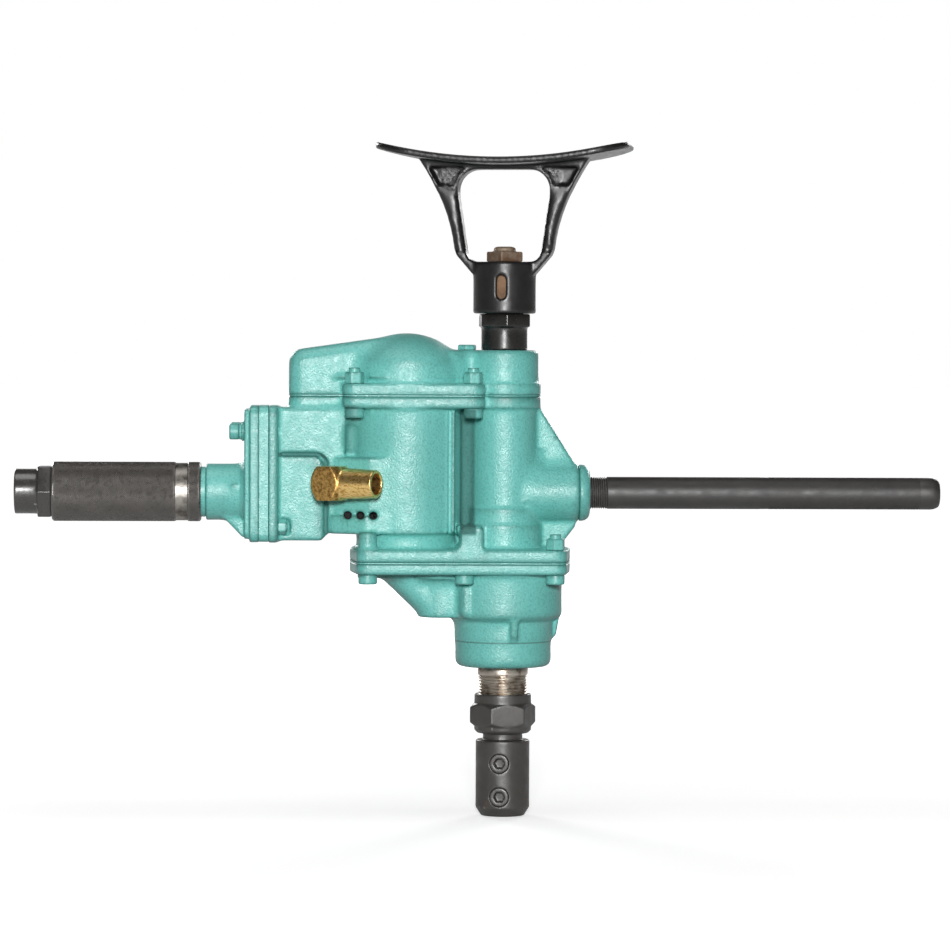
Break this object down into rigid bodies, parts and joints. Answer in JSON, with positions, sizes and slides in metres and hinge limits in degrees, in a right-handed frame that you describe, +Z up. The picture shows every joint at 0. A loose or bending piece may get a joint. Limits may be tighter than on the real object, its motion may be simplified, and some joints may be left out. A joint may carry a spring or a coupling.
{
  "type": "pneumatic drill",
  "caption": "Heavy reversible air drill: cast housing with a vane motor, set-screw chuck below, twist throttle handle, pipe handle, brass exhaust elbow and a breast plate on top.",
  "frame": {"origin": "centre of the chuck's mouth, on the spindle axis", "axes": "+Z up along the spindle axis, +X towards the pipe handle, -Y towards the side with the exhaust elbow"},
  "size_m": [0.7707, 0.1404, 0.5608],
  "materials": {
    "teal_castings": "semi-gloss enamel over a cast surface",
    "teal_fasteners": "steel painted over with the castings",
    "teal_gasket": "gasket edge, painted over",
    "black_casting": "gloss black enamel",
    "black_oxide": "black oxide",
    "knurled_black": "knurled black oxide",
    "polished_black": "polished black",
    "bare_steel": "turned steel, slightly rusty",
    "ground_steel": "ground",
    "rusty_steel": "brown rust film",
    "brass": "turned and forged brass",
    "bronze": "bronze bush",
    "vane_plastic": "laminate",
    "seal_rubber": "rubber"
  },
  "bodies": {
    "housing": {"main_housing": "teal_castings", "gear_case": "teal_castings", "top_cap": "teal_castings", "cap_gasket": "teal_gasket", "case_gasket": "teal_gasket", "oil_plug": "teal_fasteners", "cap_screws": "teal_fasteners", "cap_nuts": "teal_fasteners", "case_screws": "teal_fasteners", "case_bolts": "teal_fasteners", "case_nuts": "teal_fasteners", "port_plate": "teal_castings", "handle_base": "teal_castings", "handle_screws": "teal_fasteners", "handle_washers": "teal_fasteners", "handle_studs": "teal_fasteners", "handle_nuts": "teal_fasteners", "inlet_bushing": "black_oxide", "boss_ring": "teal_castings", "pipe_handle": "knurled_black", "exhaust_elbow": "brass", "stem": "polished_black", "plate_screw": "rusty_steel", "spindle_seal": "seal_rubber", "low_bearing_outer": "ground_steel", "low_bearing_ring": "ground_steel", "top_bearing_outer": "ground_steel", "idler_low_bush": "bronze", "idler_top_bush": "bronze", "motor_cylinder": "ground_steel", "low_end_plate": "ground_steel", "top_end_plate": "ground_steel", "rotor_bearing_outers": "ground_steel"},
    "spindle_group": {"spindle": "bare_steel", "lock_nut": "black_oxide", "chuck": "black_oxide", "spindle_gear": "ground_steel", "spindle_key": "ground_steel", "gear_ring": "ground_steel", "low_bearing_inner": "ground_steel", "top_bearing_inner": "ground_steel"},
    "screw_lower": {"set_screw_lower": "black_oxide"},
    "screw_upper": {"set_screw_upper": "black_oxide"},
    "idler_group": {"idler_shaft": "ground_steel", "idler_gear": "ground_steel"},
    "rotor_group": {"rotor": "ground_steel", "vane_set": "vane_plastic", "motor_pinion": "ground_steel", "rotor_bearing_inners": "ground_steel"},
    "throttle": {"throttle_sleeve": "knurled_black", "throttle_valve": "brass", "drive_pin": "ground_steel"},
    "breast_plate": {"breast_plate": "black_casting", "hub_bush": "bronze"}
  },
  "joints": [
    {"name": "spindle_spin", "type": "hinge", "parent": "housing", "child": "spindle_group", "pos_m": [0, 0, 0], "axis": [0, 0, 1], "continuous": true},
    {"name": "idler_spin", "type": "hinge", "parent": "housing", "child": "idler_group", "pos_m": [-0.05144, -0.0105, 0], "axis": [0, 0, 1], "continuous": true},
    {"name": "rotor_spin", "type": "hinge", "parent": "housing", "child": "rotor_group", "pos_m": [-0.08114, 0, 0], "axis": [0, 0, 1], "continuous": true},
    {"name": "throttle_twist", "type": "hinge", "parent": "housing", "child": "throttle", "pos_m": [-0.37524, 0, 0.2695], "axis": [1, 0, 0], "range_deg": [-30, 30]},
    {"name": "breast_plate_swivel", "type": "hinge", "parent": "housing", "child": "breast_plate", "pos_m": [0, 0, 0.4183], "axis": [0, 0, 1], "continuous": true},
    {"name": "set_screw_lower_travel", "type": "slide", "parent": "spindle_group", "child": "screw_lower", "axis": [0.1736, 0.9848, 0], "range_m": [0, 0.004]},
    {"name": "set_screw_upper_travel", "type": "slide", "parent": "spindle_group", "child": "screw_upper", "axis": [0.1736, 0.9848, 0], "range_m": [0, 0.004]}
  ],
  "couplings": [
    {"joint": "idler_spin", "follows": "spindle_spin", "ratio": -3.2857},
    {"joint": "rotor_spin", "follows": "spindle_spin", "ratio": 8.2143}
  ]
}
